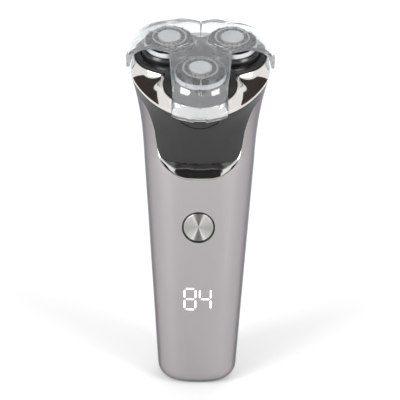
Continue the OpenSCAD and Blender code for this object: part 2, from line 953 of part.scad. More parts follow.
// Solid through sections that all start and end on the axis
module dish_solid(runs, top, bottom) {
    m = len(runs[0]);
    n = len(runs);
    crown = n * m;
    faces = [
        for (i = [0 : n - 1])
        let (a = i * m, b = ((i + 1) % n) * m)
        each concat(
            [for (j = [0 : m - 2], f = [[a + j + 1, a + j, b + j], [a + j + 1, b + j, b + j + 1]]) f],
            [[a, crown, b], [b + m - 1, crown + 1, a + m - 1]]
        )
    ];
    polyhedron(concat([for (r = runs) each r], [[0, 0, top], [0, 0, bottom]]), faces, 4);
}
module travel_cap() {
    color([0.9, 0.95, 1, 0.3])
        in_head()
            dish_solid(
                [
                    for (k = [0 : 2], a = arm_turns)
                    cap_run(head_dirs[k], a, k == 0 ? lip_front : lip_side)
                ],
                cap_top, cap_top - cap_wall
            );
}

front_shell();
rear_cover();
neck_collar();
mirror_bezel();
base_plate();
charging_socket();
battery();
inner_chassis();
circuit_board();
display_module();
display_digits();
tact_switch();
button_ring();
cover_screws();
motor_can();
motor_end_cap();
motor_plate();
gear_plate();
gear_screws();
chamber_floor();
floor_gasket();
spindle_seals();
hinge_pin();
motor_shaft();
motor_pinion();
centre_gear();
drive_gear(1);  // drive_gear_1
drive_gear(2);  // drive_gear_2
drive_gear(3);  // drive_gear_3
release_button();
release_spring();
power_button_cap();
power_button_stem();
chrome_skirt();
head_plate();
retaining_frame();
frame_screw();
foil_guard(1);  // foil_guard_1
foil_guard(2);  // foil_guard_2
foil_guard(3);  // foil_guard_3
head_disc(1);  // head_disc_1
head_disc(2);  // head_disc_2
head_disc(3);  // head_disc_3
head_ring(1);  // head_ring_1
head_ring(2);  // head_ring_2
head_ring(3);  // head_ring_3
head_spring(1);  // head_spring_1
head_spring(2);  // head_spring_2
head_spring(3);  // head_spring_3
cutter_blades(1);  // cutter_blades_1
cutter_blades(2);  // cutter_blades_2
cutter_blades(3);  // cutter_blades_3
cutter_coupler(1);  // cutter_coupler_1
cutter_coupler(2);  // cutter_coupler_2
cutter_coupler(3);  // cutter_coupler_3
travel_cap();
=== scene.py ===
"""Rotary electric shaver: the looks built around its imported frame.

Sizes in the formulas are millimetres, and every mesh is written in metres.
+Z runs up the handle and the display side faces -Y. The head frame has its origin in the plane
of the cutting heads, its +Z out of them and its +Y to the rear; "depth" is measured below it.
"""

import math

import bpy
from mathutils import Matrix, Vector


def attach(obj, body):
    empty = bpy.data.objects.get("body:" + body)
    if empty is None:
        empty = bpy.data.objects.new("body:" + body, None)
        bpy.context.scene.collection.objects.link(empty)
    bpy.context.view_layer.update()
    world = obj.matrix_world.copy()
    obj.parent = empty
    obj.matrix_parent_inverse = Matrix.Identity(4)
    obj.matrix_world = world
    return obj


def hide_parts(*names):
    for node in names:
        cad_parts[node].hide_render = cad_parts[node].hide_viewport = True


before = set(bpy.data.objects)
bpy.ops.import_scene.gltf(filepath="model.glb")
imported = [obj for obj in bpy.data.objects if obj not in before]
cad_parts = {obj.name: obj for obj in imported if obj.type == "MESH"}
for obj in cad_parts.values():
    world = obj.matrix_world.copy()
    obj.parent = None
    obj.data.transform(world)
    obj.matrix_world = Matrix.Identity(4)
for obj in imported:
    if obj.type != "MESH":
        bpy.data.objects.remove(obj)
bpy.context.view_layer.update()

bl_info = {
    "name": "Rotary Electric Shaver",
    "version": (1, 0, 0),
    "blender": (4, 5, 0),
    "location": "View3D > Sidebar > Shaver",
    "description": "Builds the shell, cutting heads, controls and travel cap of a rotary shaver",
    "category": "Add Mesh",
}

MM = 0.001
HEAD_DIRECTIONS = (270, 30, 150)


def srgb(code):
    """sRGB hex to linear RGB."""
    values = [int(code[i : i + 2], 16) / 255 for i in (1, 3, 5)]
    return tuple(v / 12.92 if v <= 0.04045 else ((v + 0.055) / 1.055) ** 2.4 for v in values)


# ---- Sizes and colours in the sidebar ----


def size(label, about, default):
    return bpy.props.FloatProperty(
        name=label, description=about, default=default * MM, unit="LENGTH", precision=4
    )


def angle(label, about, default):
    return bpy.props.FloatProperty(
        name=label, description=about, default=math.radians(default), subtype="ANGLE"
    )


def count(label, about, default):
    return bpy.props.IntProperty(name=label, description=about, default=default)


def colour(label, about, code):
    return bpy.props.FloatVectorProperty(
        name=label, description=about, default=srgb(code), size=3, subtype="COLOR", min=0, max=1
    )


class ShaverHandleSizes(bpy.types.PropertyGroup):
    base_half_width: size("Base half width", "Half the width of the handle at its base", 17.6)
    base_depth: size("Base depth", "Depth from the axis to the front or back of the base", 17)
    base_round: size("Base rounding", "Radius of the rounded bottom edge", 6)
    wall: size("Wall", "Thickness of the moulded walls", 1.8)
    gap: size("Joint gap", "Gap between neighbouring mouldings", 0.15)
    scoop: size("Neck scoop", "Depth of the hollow in the neck's front", 4.6)
    grip_depth: size("Grip depth", "Depth of the grooves in the rear cover", 0.45)


class ShaverHeadSizes(bpy.types.PropertyGroup):
    tilt: angle("Head tilt", "Angle that the head leans towards the front", 24)
    spread: size("Head spread", "Distance of each cutting head from the middle", 15.5)
    lobe_radius: size("Lobe radius", "Radius of the chrome lobe around each head", 16)
    seam_depth: size("Joint line depth", "Depth of the joint line below the heads", 14)
    outer_slots: count("Outer slots", "Slots in a foil's outer track", 66)
    inner_slots: count("Inner slots", "Slots in a foil's inner track", 40)


class ShaverControlSizes(bpy.types.PropertyGroup):
    button_height: size("Button height", "Height of the power button's centre", 76.6)
    button_radius: size("Button radius", "Radius of the power button", 6.5)
    display_height: size("Display height", "Height of the middle of the digits", 42.9)
    digit_height: size("Digit height", "Height of one digit", 10.6)
    digit_width: size("Digit width", "Width of one digit", 5.5)
    digit_pitch: size("Digit pitch", "Distance between the digits' centres", 6.7)
    stroke: size("Stroke width", "Width of a digit's lit strokes", 0.7)


class ShaverCapSizes(bpy.types.PropertyGroup):
    dome_radius: size("Dome radius", "Radius of the cap over each head", 18)
    half_width: size("Arm half width", "Half the width of each arm", 13)
    wall: size("Cap wall", "Thickness of the clear plastic", 1.3)


class ShaverFinishes(bpy.types.PropertyGroup):
    handle: colour("Handle", "Satin champagne plating", "#A5A1A2")
    neck: colour("Neck", "Dark moulded plastic", "#19191A")
    chrome: colour("Chrome", "Bright plating", "#D8D5D2")
    foil: colour("Foils", "Etched steel", "#D4D6D8")
    disc: colour("Head discs", "Pearl plastic", "#F0F3F3")
    light: colour("Digits", "Lit strokes", "#FFFFFF")


# ---- The shaver's outlines, in millimetres ----

OVAL_POWER = 2.8
FLARE_Z = 100
HEAD_Y, HEAD_Z = -3.9, 151.2
SEAM_RADIUS, SEAM_LOBE = 30, 1.6
NECK_SIDE_Z = 131.4
NECK_EDGE = (
    (0, 104), (25, 104.3), (36, 105.5), (41, 107), (44, 110.2), (45, 112.4), (48, 118.5),
    (52, 122.7), (57, 126.3), (65, 128.8), (76, 130.6), (90, 131.4),
)
BEZEL_EDGE = (
    (0, 98.2), (14, 98.35), (21, 99.1), (28, 100.7), (34, 102.5), (38, 104.1), (41, 106), (44, 109.6),
)
BEZEL_END = 44
FRONT_SLOPE = 0.051
# Where the front shell meets the rear cover, in degrees from the front
SPLIT_TURN = 112
# The hinge of the shaving unit, in the head frame
HINGE_Y, HINGE_Z, KNUCKLE_RADIUS = 30.4, -14, 1.7
BUTTON_CLEARANCE = 0.65
PAD_HALF_WIDTH, PAD_TOP, PAD_BOTTOM = 7.5, 15.4, 19
RIM_DEPTH, DISH_END = 8, 12.4


def cosd(a):
    return math.cos(math.radians(a))


def sind(a):
    return math.sin(math.radians(a))


def clamp(value, low=0.0, high=1.0):
    return min(high, max(low, value))


def turn(th):
    """Angle from the front, 0 to 180."""
    return abs((th - 270 + 180) % 360 - 180)


def flowing(table, t):
    """Smooth monotone curve through a table of (angle, height) pairs."""
    xs, ys = zip(*table)
    t = clamp(t, xs[0], xs[-1])
    i = max(k for k in range(len(xs) - 1) if xs[k] <= t)
    slopes = [(ys[k + 1] - ys[k]) / (xs[k + 1] - xs[k]) for k in range(len(xs) - 1)]

    def tangent(k):
        if k == 0:
            return 0.0
        if k == len(xs) - 1:
            return slopes[-1]
        a, b = slopes[k - 1], slopes[k]
        return 0.0 if a * b <= 0 else 2 * a * b / (a + b)

    h = xs[i + 1] - xs[i]
    s = (t - xs[i]) / h
    return (
        (2 * s**3 - 3 * s**2 + 1) * ys[i]
        + (s**3 - 2 * s**2 + s) * h * tangent(i)
        + (3 * s**2 - 2 * s**3) * ys[i + 1]
        + (s**3 - s**2) * h * tangent(i + 1)
    )


class Outlines:
    """Where the surfaces of the handle, neck, head and cap lie."""

    def __init__(self):
        scene = bpy.context.scene
        handle, head, cap, controls = (
            scene.shaver_handle, scene.shaver_head, scene.shaver_cap, scene.shaver_controls,
        )
        self.half_width = handle.base_half_width / MM
        self.depth = handle.base_depth / MM
        self.base_round = handle.base_round / MM
        self.wall = handle.wall / MM
        self.gap = handle.gap / MM
        self.scoop = handle.scoop / MM
        self.tilt = math.degrees(head.tilt)
        self.spread = head.spread / MM
        self.lobe_radius = head.lobe_radius / MM
        self.seam_depth = head.seam_depth / MM
        self.cap_radius = cap.dome_radius / MM
        self.cap_half = cap.half_width / MM
        self.cap_wall = cap.wall / MM
        self.button_z = controls.button_height / MM
        self.button_radius = controls.button_radius / MM
        self.seam_y = HEAD_Y + self.seam_depth * sind(self.tilt)
        self.seam_z = HEAD_Z - self.seam_depth * cosd(self.tilt)
        reach = math.sqrt(self.cap_radius**2 - self.cap_half**2) + self.spread
        self.arm_turn = math.degrees(math.atan2(self.cap_half, reach))
        self.head = (
            Matrix.Translation(Vector((0, HEAD_Y, HEAD_Z)) * MM)
            @ Matrix.Rotation(math.radians(self.tilt), 4, "X")
        )
        lean = math.atan(FRONT_SLOPE)
        self.button = (
            Matrix.Translation(Vector((0, -self.front_depth(self.button_z), self.button_z)) * MM)
            @ Matrix.Rotation(lean - math.pi / 2, 4, "X")
        )

    def front_depth(self, z):
        return self.depth + FRONT_SLOPE * z

    def back_depth(self, z):
        return self.depth + 0.035 * z + 0.0015 * max(0, z - 90) ** 2

    def head_at(self, i):
        """Frame of cutting head i, 0 to 2."""
        return (
            self.head
            @ Matrix.Rotation(math.radians(HEAD_DIRECTIONS[i]), 4, "Z")
            @ Matrix.Translation(Vector((self.spread, 0, 0)) * MM)
        )

    def low_skin(self, th, z, inset=0.0):
        a = self.half_width + 0.0625 * z - inset
        depth = (self.front_depth(z) if sind(th) < 0 else self.back_depth(z)) - inset
        total = (abs(cosd(th)) / a) ** OVAL_POWER + (abs(sind(th)) / depth) ** OVAL_POWER
        r = total ** (-1 / OVAL_POWER)
        return Vector((r * cosd(th), r * sind(th)))

    def seam_outline(self, th):
        return SEAM_RADIUS + SEAM_LOBE * cosd(3 * (th - 270))

    def seam_top(self, th):
        return self.seam_z + self.seam_outline(th) * sind(th) * sind(self.tilt)

    def skin(self, th, z, inset=0.0):
        """Point of the handle's surface in direction th at height z."""
        if z <= FLARE_Z:
            p = self.low_skin(th, z, inset)
            return Vector((p.x, p.y, z))
        rise = self.seam_top(th) - FLARE_Z
        s = (z - FLARE_Z) / rise
        p, below = self.low_skin(th, FLARE_Z, inset), self.low_skin(th, FLARE_Z - 1, inset)
        r = self.seam_outline(th) - inset
        q = Vector((r * cosd(th), self.seam_y + r * sind(th) * cosd(self.tilt)))
        start = (p - below) * rise
        end = Vector((cosd(th), sind(th))) * (0.33 - 0.13 * sind(th)) * rise
        v = (
            (2 * s**3 - 3 * s**2 + 1) * p + (s**3 - 2 * s**2 + s) * start
            + (3 * s**2 - 2 * s**3) * q + (s**3 - s**2) * end
        )
        return Vector((v.x, v.y, z))

    def neck_low(self, th):
        if turn(th) < 90:
            return flowing(NECK_EDGE, turn(th))
        return NECK_SIDE_Z + self.seam_top(th) - self.seam_top(0)

    def shell_high(self, th):
        if turn(th) < BEZEL_END:
            return flowing(BEZEL_EDGE, turn(th))
        return self.neck_low(th) - self.gap

    def neck_skin(self, th, z, inset=0.0):
        """As skin, with the neck's front scooped in behind it."""
        fade = (1 + cosd(180 * clamp((turn(th) - 25) / 22))) / 2
        scoop = self.scoop * fade * (1 - clamp((z - 104) / 21.5)) ** 1.5
        p = self.skin(th, z, inset)
        k = 1 - scoop / math.hypot(p.x, p.y)
        return Vector((p.x * k, p.y * k, z))

    def rim_outline(self, th):
        total = 0.0
        for d in HEAD_DIRECTIONS:
            across = self.spread * sind(th - d)
            total += (self.spread * cosd(th - d) + math.sqrt(self.lobe_radius**2 - across**2)) ** 6
        return total ** (1 / 6)

    def skirt_outline(self, th, depth):
        rim = self.rim_outline(th)
        share = clamp((depth - RIM_DEPTH) / (DISH_END - RIM_DEPTH)) ** 1.5
        return rim + (self.seam_outline(th) - rim) * share

    def on_neck(self, x, depth):
        """Head-frame Y at which a line along Y meets the neck's front."""
        inside, outside = -20.0, -40.0
        for _ in range(26):
            b = (inside + outside) / 2
            p = (self.head @ (Vector((x, b, -depth)) * MM)) / MM
            th = math.degrees(math.atan2(p.y, p.x)) % 360
            q = self.neck_skin(th, p.z)
            if math.hypot(p.x, p.y) < math.hypot(q.x, q.y):
                inside = b
            else:
                outside = b
        return (inside + outside) / 2

    def dome_height(self, along, across):
        # Nearly straight across at the middle of the cap, round at the arm's end
        width = 0.5 + 0.5 * clamp((along - 10) / 14)
        q = math.hypot(max(0, along - self.spread), width * across)
        s = clamp((q - 6) / (self.cap_radius - 6))
        return 4.1 - 0.0045 * min(along, 20) ** 2 - 7.8 * (1 - math.sqrt(1 - s * s))

    def cap_edge(self, a):
        if abs(a) > self.arm_turn:
            return self.cap_half / sind(abs(a))
        return self.spread * cosd(a) + math.sqrt(self.cap_radius**2 - (self.spread * sind(a)) ** 2)


# ---- Modelling by hand: one helper for each move ----


def pick(obj):
    """Selects only this object and makes it active."""
    if bpy.context.object and bpy.context.object.mode != "OBJECT":
        bpy.ops.object.mode_set(mode="OBJECT")
    bpy.ops.object.select_all(action="DESELECT")
    obj.select_set(True)
    bpy.context.view_layer.objects.active = obj
    return obj


def added(name):
    """Names the primitive that an operator has just added."""
    made = bpy.context.object
    made.name = name
    made.data.name = name
    return made


def let_go():
    if bpy.context.object and bpy.context.object.mode != "OBJECT":
        bpy.ops.object.mode_set(mode="OBJECT")
    bpy.ops.object.select_all(action="DESELECT")


def grid(name, across, along, point, place=None, finish_of=None):
    """A grid primitive whose vertices are moved to point(u, v), u and v from 0 to 1, in millimetres.

    finish_of(column, row) says which of the piece's materials a face takes.
    """
    let_go()
    bpy.ops.mesh.primitive_grid_add(x_subdivisions=across, y_subdivisions=along, size=1)
    obj = added(name)
    place = place or Matrix.Identity(4)
    if finish_of:
        for face in obj.data.polygons:
            column, row = int((face.center.x + 0.5) * across), int((face.center.y + 0.5) * along)
            face.material_index = finish_of(column, row)
    for vertex in obj.data.vertices:
        u = round((vertex.co.x + 0.5) * across) / across
        v = round((vertex.co.y + 0.5) * along) / along
        vertex.co = place @ (Vector(point(u, v)) * MM)
    obj.data.update()
    return obj


def close(obj, closed=True):
    """Joins the seams and poles of a grid, then turns a closed shape's faces outwards."""
    pick(obj)
    bpy.ops.object.mode_set(mode="EDIT")
    bpy.ops.mesh.select_all(action="SELECT")
    bpy.ops.mesh.remove_doubles(threshold=0.002 * MM)
    bpy.ops.mesh.dissolve_degenerate(threshold=0.0005 * MM)
    if closed:
        bpy.ops.mesh.normals_make_consistent(inside=False)
    bpy.ops.object.mode_set(mode="OBJECT")
    return obj


def face_away(obj, towards):
    """Turns an open sheet's faces to the side that towards(centre) points to."""
    lean = sum(f.normal.dot(towards(f.center)) * f.area for f in obj.data.polygons)
    if lean < 0:
        pick(obj)
        bpy.ops.object.mode_set(mode="EDIT")
        bpy.ops.mesh.select_all(action="SELECT")
        bpy.ops.mesh.flip_normals()
        bpy.ops.object.mode_set(mode="OBJECT")
    return obj


def modify(obj, kind, **settings):
    """Adds a modifier and applies it."""
    pick(obj)
    made = obj.modifiers.new(kind.title(), kind)
    for key, value in settings.items():
        setattr(made, key, value)
    bpy.ops.object.modifier_apply(modifier=made.name)
    return obj


def thicken(obj, wall):
    return modify(obj, "SOLIDIFY", thickness=wall * MM, offset=-1, use_even_offset=True)


def soften(obj, width, segments=2, limit=50):
    """Breaks the sharp edges as a mould does."""
    return modify(
        obj, "BEVEL", width=width * MM, segments=segments,
        limit_method="ANGLE", angle_limit=math.radians(limit),
    )


def cut(obj, cutter):
    """Cuts the cutter's shape out and removes the cutter."""
    modify(obj, "BOOLEAN", operation="DIFFERENCE", solver="EXACT", object=cutter)
    bpy.data.objects.remove(cutter)
    return obj


def join(obj, *others):
    pick(obj)
    for other in others:
        other.select_set(True)
    bpy.ops.object.join()
    return obj


def rod(name, radius, start, end, sides=96, place=None):
    """A round rod between two points on one line, in millimetres."""
    a, b = Vector(start), Vector(end)
    let_go()
    bpy.ops.mesh.primitive_cylinder_add(vertices=sides, radius=radius * MM, depth=(b - a).length * MM)
    obj = added(name)
    aim = (b - a).to_track_quat("Z", "Y").to_matrix().to_4x4()
    obj.data.transform((place or Matrix.Identity(4)) @ Matrix.Translation((a + b) / 2 * MM) @ aim)
    return obj


def block(name, low, high, place=None):
    a, b = Vector(low), Vector(high)
    let_go()
    bpy.ops.mesh.primitive_cube_add(size=1)
    obj = added(name)
    middle = Matrix.Translation((a + b) / 2 * MM)
    obj.data.transform((place or Matrix.Identity(4)) @ middle @ Matrix.Diagonal((*((b - a) * MM), 1)))
    return obj


def turned(name, profile, steps=128, place=None):
    """A closed outline of (radius, height) pairs spun about the local Z axis."""
    outline = list(profile) + [profile[0]]
    spans = len(outline) - 1

    def point(u, v):
        r, z = outline[round(v * spans)]
        return (r * cosd(360 * u), r * sind(360 * u), z)

    return close(grid(name, steps, spans, point, place))


def rounded(profile, radius, steps=4):
    """The same closed outline with each corner replaced by a short curve."""
    out = []
    n = len(profile)
    for i, corner in enumerate(profile):
        here = Vector(corner)
        before, after = Vector(profile[i - 1]) - here, Vector(profile[(i + 1) % n]) - here
        reach = min(radius, before.length * 0.45, after.length * 0.45)
        a, b = here + before.normalized() * reach, here + after.normalized() * reach
        for k in range(steps + 1):
            t = k / steps
            p = a * (1 - t) ** 2 + here * 2 * t * (1 - t) + b * t**2
            out.append((p.x, p.y))
    return out


def complete(obj, body, finish, nodes=(), smooth=35):
    """Gives a finished mesh its shading, material, body and the nodes it stands for."""
    pick(obj)
    bpy.ops.object.shade_smooth_by_angle(angle=math.radians(smooth))
    for each in finish if isinstance(finish, tuple) else (finish,):
        obj.data.materials.append(each)
    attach(obj, body)
    if nodes:
        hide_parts(*nodes)
    return obj


# ---- Materials ----


def node(tree, kind, inputs=None, **settings):
    """Adds a node with its settings, values and links."""
    made = tree.nodes.new(kind)
    for key, value in settings.items():
        setattr(made, key, value)
    for key, value in (inputs or {}).items():
        if isinstance(value, bpy.types.NodeSocket):
            tree.links.new(value, made.inputs[key])
        else:
            made.inputs[key].default_value = value
    return made


def per(millimetres):
    """Texture scale at which one feature measures this much."""
    return 1 / (millimetres * MM)


def shaded(rgb, factor):
    return tuple(clamp(c * factor) for c in rgb[:3]) + (1.0,)


def finish(
    name, base, roughness, grain=0.3, depth=0.004, vary=0.06, spread=0.06, mottle=12, bump_by=None, **sockets
):
    """A surface with its grain (mm across, mm deep), and patches that vary in tone and gloss."""
    if name in bpy.data.materials:
        return bpy.data.materials[name]
    material = bpy.data.materials.new(name)
    material.use_nodes = True
    tree = material.node_tree
    shader = tree.nodes["Principled BSDF"]
    place = node(tree, "ShaderNodeTexCoord")
    patches = node(
        tree, "ShaderNodeTexNoise",
        {"Vector": place.outputs["Object"], "Scale": per(mottle), "Detail": 3.0, "Roughness": 0.55},
    )
    tone = node(tree, "ShaderNodeValToRGB", {"Fac": patches.outputs["Fac"]})
    tone.color_ramp.elements[0].position, tone.color_ramp.elements[1].position = 0.3, 0.7
    tone.color_ramp.elements[0].color = shaded(base, 1 - vary)
    tone.color_ramp.elements[1].color = shaded(base, 1 + vary)
    gloss = node(
        tree, "ShaderNodeMapRange",
        {
            "Value": patches.outputs["Fac"], "From Min": 0.3, "From Max": 0.7,
            "To Min": clamp(roughness - spread), "To Max": clamp(roughness + spread),
        },
    )
    grains = node(
        tree, "ShaderNodeTexNoise",
        {"Vector": place.outputs["Object"], "Scale": per(grain), "Detail": 2.0},
    )
    height = bump_by(tree, place) if bump_by else grains.outputs["Fac"]
    relief = node(tree, "ShaderNodeBump", {"Height": height, "Distance": depth * MM, "Strength": 1.0})
    tree.links.new(tone.outputs["Color"], shader.inputs["Base Color"])
    tree.links.new(gloss.outputs["Result"], shader.inputs["Roughness"])
    tree.links.new(relief.outputs["Normal"], shader.inputs["Normal"])
    for key, value in sockets.items():
        shader.inputs[key.replace("_", " ")].default_value = value
    return material


def champagne_plating():
    # Satin electroplated ABS: a warm silver mirror, softened by a very fine blasted texture
    return finish(
        "satin_champagne_plated_abs", bpy.context.scene.shaver_finishes.handle, 0.2,
        grain=0.35, depth=0.0004, vary=0.015, spread=0.02, mottle=30, Metallic=1.0,
        Specular_Tint=(0.42, 0.42, 0.45, 1),
    )


def dark_moulding():
    # Spark-eroded ABS: nearly black, with an even satin sheen that brightens at grazing angles
    return finish(
        "satin_dark_abs", bpy.context.scene.shaver_finishes.neck, 0.36,
        grain=0.25, depth=0.0016, vary=0.06, spread=0.03,
    )


def soft_touch_grip():
    # Soft-touch lacquered grip: darker and duller than the neck, fine leathery grain
    return finish(
        "soft_touch_grip", srgb("#262627"), 0.55, grain=0.5, depth=0.006, vary=0.08, spread=0.05,
    )


def chrome_plating():
    # Bright chromium on polished ABS: clear reflections with a slight ripple of the moulding
    return finish(
        "chrome_plated_abs", bpy.context.scene.shaver_finishes.chrome, 0.07,
        grain=9, depth=0.003, vary=0.01, spread=0.02, mottle=25, Metallic=1.0,
    )


def black_gloss():
    # Polished black ABS: deep black that shows the studio lights as soft patches
    return finish(
        "polished_black_abs", srgb("#161617"), 0.2, grain=0.6, depth=0.0008, vary=0.1, spread=0.05,
    )


def black_nylon():
    # Glass-filled nylon: black, dry, slightly speckled
    return finish("black_glass_filled_nylon", srgb("#191919"), 0.5, grain=0.3, depth=0.004, vary=0.2)


def etched_steel():
    # Photo-etched and lapped stainless foil: pale grey with fine circular lapping haze
    return finish(
        "etched_stainless_foil", bpy.context.scene.shaver_finishes.foil, 0.3,
        grain=0.25, depth=0.001, vary=0.05, spread=0.05, mottle=3, Metallic=1.0,
    )


def bright_steel():
    # Ground steel of shafts, screws and springs: neutral metal with uneven gloss
    return finish(
        "ground_steel", srgb("#B9BCBE"), 0.28,
        grain=0.2, depth=0.0015, vary=0.06, spread=0.08, mottle=4, Metallic=1.0,
    )


def cutter_steel():
    # Hardened cutter steel, painted darker than bare steel as painted shade, so that the slots over it read
    # as dark lines
    return finish(
        "hardened_cutter_steel", srgb("#55585A"), 0.45,
        grain=0.2, depth=0.0015, vary=0.1, mottle=2, Metallic=1.0,
    )


def pearl_disc():
    # Pearl-lacquered ABS: near white, satin, with a faint drift of tone from the mica
    return finish(
        "pearl_lacquered_abs", bpy.context.scene.shaver_finishes.disc, 0.24,
        grain=0.3, depth=0.0006, vary=0.035, spread=0.04, mottle=5, Coat_Weight=0.3, Coat_Roughness=0.12,
    )


def off_white():
    # Translucent off-white ABS: the light guide behind the digits
    return finish(
        "off_white_abs", srgb("#C9CBCC"), 0.3, grain=0.3, depth=0.001, vary=0.04, spread=0.05, mottle=4
    )


def gear_acetal():
    # Natural acetal: creamy white, waxy
    return finish(
        "natural_acetal", srgb("#E6E0CB"), 0.38, grain=0.5, depth=0.001, vary=0.04, mottle=6,
        Subsurface_Weight=0.1, Subsurface_Scale=0.001,
    )


def chassis_plastic():
    # Uncoloured PC-ABS of hidden frames: light grey, moulded matte
    return finish("grey_pc_abs", srgb("#BDBDB8"), 0.45, grain=0.35, depth=0.003, vary=0.05)


def seal_rubber():
    # Nitrile rubber: black and dull with a fine bloom
    return finish("nitrile_rubber", srgb("#1C1C1C"), 0.7, grain=0.3, depth=0.005, vary=0.2)


def frame_plastic():
    # Dyed acetal of the retaining frame: slate blue, satin
    return finish("slate_blue_acetal", srgb("#3A5F8A"), 0.4, grain=0.4, depth=0.002, vary=0.06)


def cell_wrap():
    # Shrink-wrapped PVC on a lithium cell: blue, glossy, slightly wrinkled
    return finish("pvc_cell_wrap", srgb("#2F6F9F"), 0.25, grain=3, depth=0.03, vary=0.05)


def circuit_board():
    # Solder mask over copper: green lacquer on glass laminate, traces drawn 1 mm wide so that they show
    def traces(tree, place):
        lanes = node(
            tree, "ShaderNodeTexWave",
            {"Vector": place.outputs["Object"], "Scale": per(6.3), "Distortion": 3.0, "Detail": 1.0},
            bands_direction="DIAGONAL", wave_profile="TRI",
        )
        return lanes.outputs["Fac"]

    return finish(
        "solder_mask_laminate", srgb("#1F6B3A"), 0.3, depth=0.03, vary=0.1, mottle=3, bump_by=traces
    )


def spun_aluminium():
    """Diamond-turned aluminium: concentric tool marks stretch the highlights into two opposite fans, which
    are also painted into the base colour as a painted highlight.
    """
    name = "diamond_turned_aluminium"
    if name in bpy.data.materials:
        return bpy.data.materials[name]
    out = Outlines()
    material = bpy.data.materials.new(name)
    material.use_nodes = True
    tree = material.node_tree
    shader = tree.nodes["Principled BSDF"]
    place = node(tree, "ShaderNodeTexCoord")
    # Centred on the button and turned so that the rings lie square to its axis. Tool marks are
    # about 0.1 mm apart, and are drawn 0.35 mm apart so that they show
    to_button = out.button.inverted()
    centred = node(
        tree, "ShaderNodeMapping",
        {
            "Vector": place.outputs["Object"],
            "Location": to_button.to_translation(), "Rotation": tuple(to_button.to_euler()),
        },
    )
    rings = node(
        tree, "ShaderNodeTexWave",
        {
            "Vector": centred.outputs["Vector"], "Scale": per(0.35) / 20 * math.pi,
            "Distortion": 0.15, "Detail": 1.0,
        },
        wave_type="RINGS", rings_direction="Z",
    )
    scratches = node(
        tree, "ShaderNodeTexNoise",
        {"Vector": centred.outputs["Vector"], "Scale": per(0.5), "Detail": 3.0},
    )
    tone = node(tree, "ShaderNodeValToRGB", {"Fac": rings.outputs["Fac"]})
    tone.color_ramp.elements[0].color = (*srgb("#C8C7C7"), 1)
    tone.color_ramp.elements[1].color = (*srgb("#E0DFDE"), 1)
    # The fans are a painted highlight in the base colour: dark straight above and below the middle, bright
    # beside that, and plain to each side
    turned_by = node(
        tree, "ShaderNodeTexGradient", {"Vector": centred.outputs["Vector"]}, gradient_type="RADIAL"
    )
    doubled = node(
        tree, "ShaderNodeMath", {0: turned_by.outputs["Fac"], 1: 4 * math.pi}, operation="MULTIPLY",
    )
    swing = node(tree, "ShaderNodeMath", {0: doubled.outputs["Value"]}, operation="COSINE")
    shares = node(
        tree, "ShaderNodeMath", {0: swing.outputs["Value"], 1: 0.5, 2: 0.5}, operation="MULTIPLY_ADD"
    )
    fans = node(tree, "ShaderNodeValToRGB", {"Fac": shares.outputs["Value"]})
    fans.color_ramp.elements[0].color = (*srgb("#7C7B7A"), 1)
    fans.color_ramp.elements[1].color = (*srgb("#C4C2C2"), 1)
    for position, tint in ((0.07, "#9A9998"), (0.16, "#F2F1F0"), (0.42, "#D0CECE")):
        fans.color_ramp.elements.new(position).color = (*srgb(tint), 1)
    tone_with_painted_fans = node(
        tree, "ShaderNodeMix", {0: 1.0, 6: tone.outputs["Color"], 7: fans.outputs["Color"]},
        data_type="RGBA", blend_type="MULTIPLY",
    )
    gloss = node(
        tree, "ShaderNodeMapRange", {"Value": scratches.outputs["Fac"], "To Min": 0.26, "To Max": 0.4}
    )
    relief = node(tree, "ShaderNodeBump", {"Height": rings.outputs["Fac"], "Distance": 0.003 * MM})
    around = node(tree, "ShaderNodeTangent", direction_type="UV_MAP", uv_map="UVMap")
    for socket, source in (
        ("Base Color", tone_with_painted_fans.outputs[2]), ("Roughness", gloss.outputs["Result"]),
        ("Normal", relief.outputs["Normal"]), ("Tangent", around.outputs["Tangent"]),
    ):
        tree.links.new(source, shader.inputs[socket])
    shader.inputs["Metallic"].default_value = 1.0
    shader.inputs["Anisotropic"].default_value = 0.85
    return material


def lit_strokes():
    """White LEDs behind light guides: even bright strokes whose tone drifts a little at random."""
    name = "lit_light_guide"
    if name in bpy.data.materials:
        return bpy.data.materials[name]
    material = finish(name, bpy.context.scene.shaver_finishes.light, 0.3, grain=0.4, vary=0.02)
    tree = material.node_tree
    shader = tree.nodes["Principled BSDF"]
    cloud = node(
        tree, "ShaderNodeTexNoise",
        {"Vector": node(tree, "ShaderNodeTexCoord").outputs["Object"], "Scale": per(2), "Detail": 1.0},
    )
    glow = node(tree, "ShaderNodeValToRGB", {"Fac": cloud.outputs["Fac"]})
    glow.color_ramp.elements[0].color = (0.9, 0.93, 0.96, 1)
    glow.color_ramp.elements[1].color = (1, 1, 1, 1)
    tree.links.new(glow.outputs["Color"], shader.inputs["Emission Color"])
    shader.inputs["Emission Strength"].default_value = 1.0
    return material


def clear_polycarbonate():
    """Injection-moulded polycarbonate: water clear with faint flow lines and a trace of cool grey."""
    return finish(
        "clear_polycarbonate", (0.93, 0.95, 0.96), 0.03, grain=14, depth=0.004,
        vary=0.01, spread=0.015, mottle=20, Transmission_Weight=0.93, IOR=1.58,
    )


def clear_edge():
    # The cap's cut edges: the same polycarbonate left satin by the mould's parting faces, with a painted
    # grey that stands in for the shade seen in the thick clear edges, so they look grey
    return finish(
        "satin_polycarbonate_edge", srgb("#B4B9BB"), 0.3, grain=0.4, depth=0.003,
        vary=0.05, spread=0.05, mottle=4, Transmission_Weight=0.45, IOR=1.58,
    )


# ---- Operators: one for each piece or group of like pieces ----


